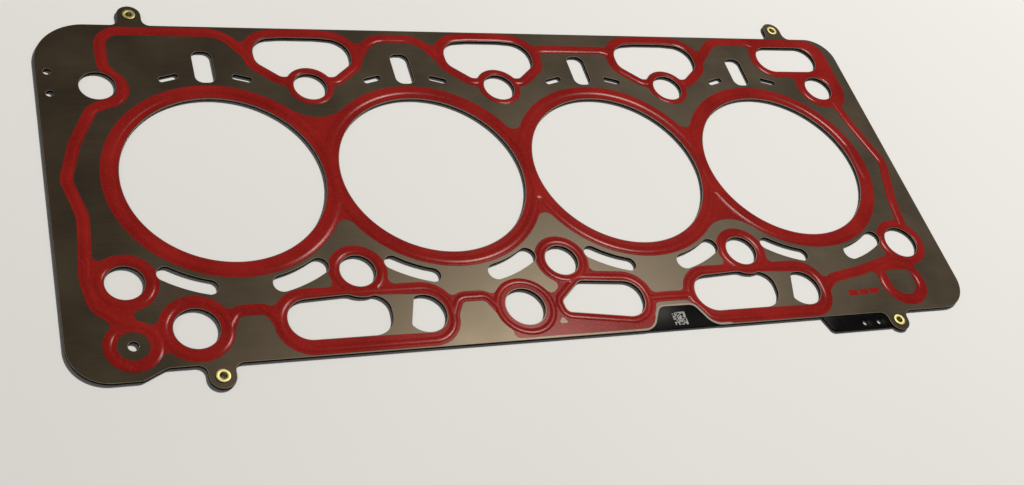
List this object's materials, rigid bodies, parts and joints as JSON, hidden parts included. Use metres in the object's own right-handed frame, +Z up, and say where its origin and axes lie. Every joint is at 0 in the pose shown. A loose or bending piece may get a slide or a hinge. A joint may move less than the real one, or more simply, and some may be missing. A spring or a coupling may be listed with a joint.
{
  "type": "cylinder head gasket",
  "caption": "Flat multi-layer steel cylinder head gasket: round bores in a row, coolant and oil openings, raised beads, red seal bands and a riveted carrier with a tab.",
  "frame": {"origin": "centre of the head bolt pattern, in the plane of the underside of the lower bead layer", "axes": "+X along the row of bores, +Y towards the side with the wide coolant windows, +Z up, from the block to the cylinder head"},
  "size_m": [0.4093, 0.1921, 0.0021],
  "materials": {
    "coated_steel": "satin",
    "carrier_steel": "satin",
    "stopper_steel": "satin",
    "seal_print": "satin",
    "rivet_brass": "satin"
  },
  "bodies": {
    "root": {"upper_bead_layer": "coated_steel", "lower_bead_layer": "coated_steel", "upper_combustion_seal_print": "seal_print", "lower_combustion_seal_print": "seal_print", "upper_fluid_seal_print": "seal_print", "lower_fluid_seal_print": "seal_print", "carrier_plate": "carrier_steel", "stopper_ring_1": "stopper_steel", "stopper_ring_2": "stopper_steel", "stopper_ring_3": "stopper_steel", "stopper_ring_4": "stopper_steel", "rivet_1": "rivet_brass", "rivet_2": "rivet_brass", "rivet_3": "rivet_brass", "rivet_4": "rivet_brass"}
  },
  "joints": []
}
